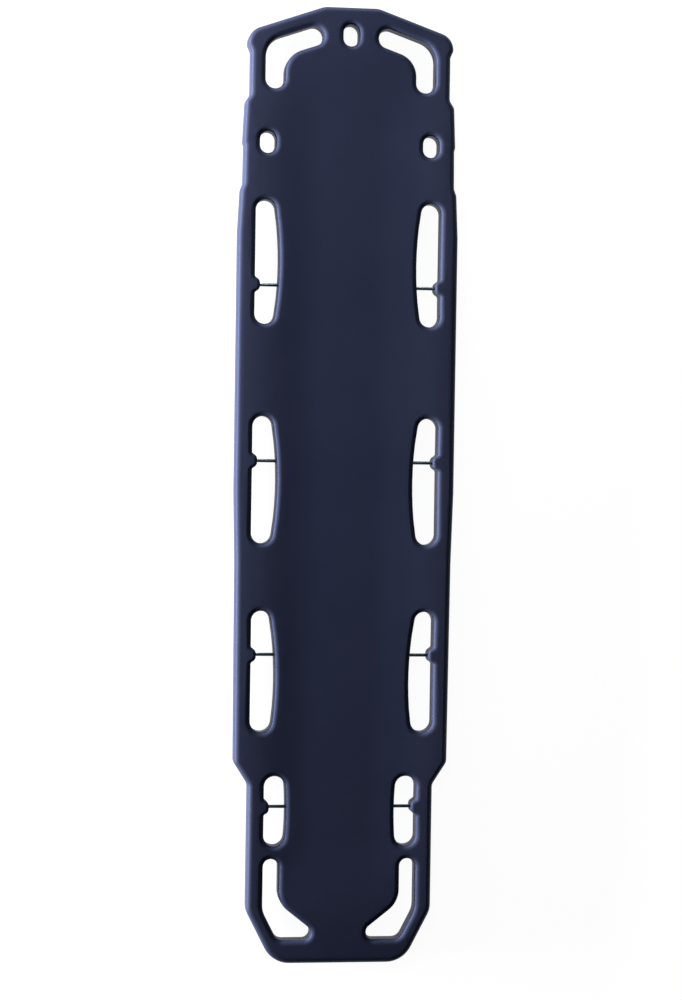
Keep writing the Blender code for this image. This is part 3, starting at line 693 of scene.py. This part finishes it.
# %% One wrapper for sockets
class Flow:
    """A value in a material's node tree."""

    def __init__(self, tree, socket):
        self.tree = tree
        self.socket = socket

    def node(self, kind, settings=None, output=0, **sockets):
        """Add any node: its settings first, then its sockets by name or as _0, _1 and so on."""
        made = self.tree.nodes.new(kind)
        for name, value in (settings or {}).items():
            setattr(made, name, value)
        for name, value in sockets.items():
            key = int(name[1:]) if name.startswith("_") else name.replace("_", " ")
            if isinstance(value, Flow):
                self.tree.links.new(value.socket, made.inputs[key])
            else:
                made.inputs[key].default_value = value
        return Flow(self.tree, made.outputs[output])

    def maths(self, operation, first, second=0.0, **settings):
        settings["operation"] = operation
        return self.node("ShaderNodeMath", settings, _0=first, _1=second)

    def __add__(self, other):
        return self.maths("ADD", self, other)

    def __sub__(self, other):
        return self.maths("SUBTRACT", self, other)

    def __rsub__(self, other):
        return self.maths("SUBTRACT", other, self)

    def __mul__(self, other):
        return self.maths("MULTIPLY", self, other)

    __radd__ = __add__

    def clamped(self):
        return self.maths("ADD", self, 0.0, use_clamp=True)

    def ramp(self, low, high):
        """0 below low, 1 above high, and smooth between."""
        ends = {"interpolation_type": "SMOOTHSTEP"}
        return self.node("ShaderNodeMapRange", ends, Value=self, From_Min=low, From_Max=high)

    def blend(self, low, high):
        """A colour between two, with this value as the share of the second."""
        kind = {"data_type": "RGBA"}
        return self.node("ShaderNodeMix", kind, output=2, _0=self, _6=low, _7=high)


def noise(place, scale, detail, roughness=0.5):
    """Noise with scale features to a metre."""
    return place.node("ShaderNodeTexNoise", Vector=place, Scale=scale, Detail=detail,
                      Roughness=roughness)


def coordinate(place, axis):
    """One coordinate of a place: 0 for X, 1 for Y and 2 for Z."""
    return place.node("ShaderNodeSeparateXYZ", output=axis, Vector=place)


def stretched(place, vector):
    """A place with each coordinate scaled on its own, so that a pattern runs along one axis."""
    return place.node("ShaderNodeVectorMath", {"operation": "MULTIPLY"}, _0=place, _1=vector)


def new_material(name, **uniform):
    """A Principled material, its object coordinates and its shader. uniform sets plain sockets."""
    made = bpy.data.materials.new(name)
    made.use_nodes = True
    tree = made.node_tree
    shader = tree.nodes["Principled BSDF"]
    for socket, value in uniform.items():
        shader.inputs[socket.replace("_", " ")].default_value = value
    place = Flow(tree, tree.nodes.new("ShaderNodeTexCoord").outputs["Object"])
    return made, place, shader


def drive(place, shader, **inputs):
    """Link patterns to the shader's sockets."""
    for socket, value in inputs.items():
        place.tree.links.new(value.socket, shader.inputs[socket.replace("_", " ")])


def bump(place, height, distance):
    return place.node("ShaderNodeBump", Height=height, Distance=distance, Strength=1.0)


# %% [markdown]
# ## Finishes
# Moulded polyethylene has a satin skin: a fine grain copied from the mould, a very slight waviness
# from cooling, and small changes of gloss. The rails are painted a little paler than the deck, a
# painted highlight for the light they catch, and sliding leaves light scuffs underneath. The navy is
# dark, so changes of gloss do most of the work.

# %% Navy polyethylene
# The paler navy is both the worn colour and the painted light on the rails
NAVY, NAVY_WORN_AND_LIT = (0.0195, 0.0245, 0.056, 1), (0.038, 0.044, 0.084, 1)
NAVY_SHEEN = (0.45, 0.55, 1, 1)
# Distances across from the middle where the painted light on the rails fades in and fades out
RAIL_LIGHT_BEGINS, RAIL_LIGHT_ENDS = (105 * MM, 170 * MM), (198 * MM, 209 * MM)
SCUFF_STRETCH, SCUFF_LIMITS = (90.0, 14.0, 90.0), (0.66, 0.78)


def navy_polyethylene():
    made, place, shader = new_material("navy_polyethylene", Specular_IOR_Level=0.3,
                                       Specular_Tint=NAVY_SHEEN)
    grain = noise(place, scale=1500, detail=3)
    pebble = place.node("ShaderNodeTexVoronoi", {"feature": "SMOOTH_F1"}, Vector=place, Scale=900.0)
    waves = noise(place, scale=9, detail=2)
    cloud = noise(place, scale=5.5, detail=4, roughness=0.6)
    scuffs = noise(stretched(place, SCUFF_STRETCH), scale=1.0, detail=6, roughness=0.75)
    scuffs = scuffs.ramp(*SCUFF_LIMITS)
    across = place.maths("ABSOLUTE", coordinate(place, 0))
    # Painted light: the rails are painted paler than the deck, standing in for the light that they
    # catch
    painted_rail_light = across.ramp(*RAIL_LIGHT_BEGINS) * (1 - across.ramp(*RAIL_LIGHT_ENDS))
    under = 1 - coordinate(place, 2).ramp(0.4 * UNDERSIDE, UNDERSIDE)
    worn = (scuffs * (under * 0.9 + 0.14)).clamped()
    # The share of the paler navy: a quarter everywhere, more on the rails as painted light, and more
    # where scuffs and the ground rub it
    tone = (cloud - 0.5) * 0.5 + 0.25 + painted_rail_light * 0.42 + worn * 0.8
    drive(
        place, shader,
        Base_Color=tone.clamped().blend(NAVY, NAVY_WORN_AND_LIT),
        Roughness=(0.50 + (grain - 0.5) * 0.10 + (cloud - 0.5) * 0.10 + worn * 0.12).clamped(),
        Normal=bump(place, grain * 0.5 + pebble * 0.6 + waves * 6.0, 0.06 * MM),
    )
    return made


# %% [markdown]
# The pins are drawn steel bar. Drawing leaves fine lines along the bar, so the noise is stretched
# along X, and handling leaves faint darker patches.

# %% Pin steel
STEEL, STEEL_STAINED = (0.26, 0.34, 0.38, 1), (0.14, 0.18, 0.20, 1)
STEEL_SHEEN, DRAWN_STRETCH = (0.1, 0.14, 0.17, 1), (40.0, 2600.0, 2600.0)


def pin_steel():
    made, place, shader = new_material("pin_steel", Metallic=1.0, Specular_Tint=STEEL_SHEEN)
    lines = noise(stretched(place, DRAWN_STRETCH), scale=1.0, detail=3, roughness=0.6)
    stain = noise(place, scale=60, detail=4, roughness=0.6).ramp(0.5, 0.75)
    drive(
        place, shader,
        Base_Color=(stain * 0.7).blend(STEEL, STEEL_STAINED),
        Roughness=(0.24 + lines * 0.14 + stain * 0.15).clamped(),
        Normal=bump(place, lines, 0.02 * MM),
    )
    return made


# %% [markdown]
# Inside, the hollow is filled with cream foam that stiffens the deck, and two pultruded glass-fibre
# tubes run lengthways. Foam is all cell bubbles, and the tubes show their straight fibres.

# %% Foam, glass fibre and plug plastic
FOAM, FOAM_PALE = (0.62, 0.52, 0.30, 1), (0.86, 0.80, 0.60, 1)
RESIN, FIBRE, FIBRE_STRETCH = (0.50, 0.50, 0.42, 1), (0.86, 0.86, 0.78, 1), (1800.0, 25.0, 1800.0)
PLUG_BLACK, PLUG_GREY = (0.010, 0.010, 0.012, 1), (0.022, 0.022, 0.025, 1)


def core_foam():
    made, place, shader = new_material("core_foam", Roughness=0.95)
    cells = place.node("ShaderNodeTexVoronoi", Vector=place, Scale=700.0)
    skin = noise(place, scale=30, detail=4)
    drive(
        place, shader,
        Base_Color=(cells * 0.6 + skin * 0.5).clamped().blend(FOAM, FOAM_PALE),
        Normal=bump(place, cells, 0.4 * MM),
    )
    return made


def glass_fibre():
    made, place, shader = new_material("glass_fibre")
    fibres = noise(stretched(place, FIBRE_STRETCH), scale=1.0, detail=3, roughness=0.7)
    drive(
        place, shader,
        Base_Color=fibres.blend(RESIN, FIBRE),
        Roughness=0.32 + fibres * 0.2,
        Normal=bump(place, fibres, 0.05 * MM),
    )
    return made


def plug_plastic():
    made, place, shader = new_material("plug_plastic", Specular_IOR_Level=0.45)
    grain = noise(place, scale=1800, detail=3)
    patch = noise(place, scale=90, detail=3)
    drive(
        place, shader,
        Base_Color=patch.blend(PLUG_BLACK, PLUG_GREY),
        Roughness=(0.42 + (patch - 0.5) * 0.2).clamped(),
        Normal=bump(place, grain, 0.05 * MM),
    )
    return made


# %% Give every piece its finish, its body and the node that it stands for
finishes = {make.__name__: make() for make in
            (navy_polyethylene, pin_steel, core_foam, glass_fibre, plug_plastic)}


def dress(piece, finish, node=None):
    """Put a finish on a piece. The slot in the record has the same name as the finish."""
    piece.data.materials.clear()
    piece.data.materials.append(finishes[finish])
    if node:
        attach(piece, "root")
        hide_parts(node)


dress(deck, "navy_polyethylene", "deck_shell")
dress(base, "navy_polyethylene", "base_shell")
for pin, node in pins:
    dress(pin, "pin_steel", node)
for plug, node in plugs:
    dress(plug, "plug_plastic", node)
dress(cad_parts["foam_core"], "core_foam")
for node in ("stiffener_left", "stiffener_right"):
    dress(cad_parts[node], "glass_fibre")
print("finishes", sorted(finishes))

# %% [markdown]
# ## Floor, light and camera
# The board lies on a lit white table, as catalogue pictures are made, so the openings show pure
# white. A long soft box stands low at its left, so the rims on that side catch a bright line and
# those that face away stay dark. The camera hangs nearly straight above, a little to the left, far
# enough away that the board hardly tapers.


# %% Floor
FLOOR_REACH, FLOOR_GAP = 150, 0.1 * MM
FLOOR_GREY, FLOOR_GLOW = (0.25, 0.25, 0.25, 1), 0.95


def floor():
    """The table, which reaches far past the view and lies a hair below the runners."""
    bm = bmesh.new()
    below = Matrix.Translation((0, 0, -FLOOR_GAP))
    bmesh.ops.create_grid(bm, x_segments=1, y_segments=1, size=FLOOR_REACH, matrix=below)
    paper = new_piece("floor", bm)
    finish, _, _ = new_material("light_table", Base_Color=FLOOR_GREY, Roughness=0.9,
                                Emission_Color=(1, 1, 1, 1), Emission_Strength=FLOOR_GLOW)
    paper.data.materials.append(finish)


# %% Soft boxes: place, aim, width and height in metres, and watts
SKY, SKY_STRENGTH = (0.92, 0.94, 1, 1), 0.03
SOFT_BOXES = {
    "key_left": ((-1.6, 0.3, 0.22), (0, 0.2, 0.04), (3.0, 0.15), 160),
    "head_end": ((-0.3, 2.1, 0.5), (0, 0.6, 0.04), (1.8, 0.22), 24),
    "fill_above": ((-1.2, 1.6, 3.4), (0, 0, 0), (1.5, 1.5), 12),
}


def soft_box(name, place, aim, size, power):
    """An area light that points at aim, with the first side of its size level."""
    lamp = bpy.data.lights.new(name, "AREA")
    lamp.shape = "RECTANGLE"
    lamp.size, lamp.size_y = size
    lamp.energy = power
    box = bpy.data.objects.new(name, lamp)
    box.location = place
    box.rotation_euler = (Vector(aim) - Vector(place)).to_track_quat("-Z", "Y").to_euler()
    bpy.context.scene.collection.objects.link(box)


def studio():
    world = bpy.data.worlds.new("studio")
    world.use_nodes = True
    sky = world.node_tree.nodes["Background"]
    sky.inputs["Color"].default_value = SKY
    sky.inputs["Strength"].default_value = SKY_STRENGTH
    bpy.context.scene.world = world
    bpy.context.scene.view_settings.view_transform = "Standard"
    for name, settings in SOFT_BOXES.items():
        soft_box(name, *settings)


# %% Camera: focal length and sensor in millimetres, place in metres, turn in degrees
FOCAL_LENGTH, SENSOR_WIDTH = 90, 36
CAMERA_PLACE, CAMERA_TURN = (-0.6499, 0.0664, 4.7859), (-1.2144, -7.7041, 0.8754)


def camera():
    lens = bpy.data.cameras.new("camera")
    lens.lens = FOCAL_LENGTH
    lens.sensor_width = SENSOR_WIDTH
    lens.clip_end = 2 * FLOOR_REACH
    view = bpy.data.objects.new("camera", lens)
    view.location = CAMERA_PLACE
    view.rotation_euler = Euler([math.radians(angle) for angle in CAMERA_TURN])
    bpy.context.scene.collection.objects.link(view)
    bpy.context.scene.camera = view


floor()
studio()
camera()
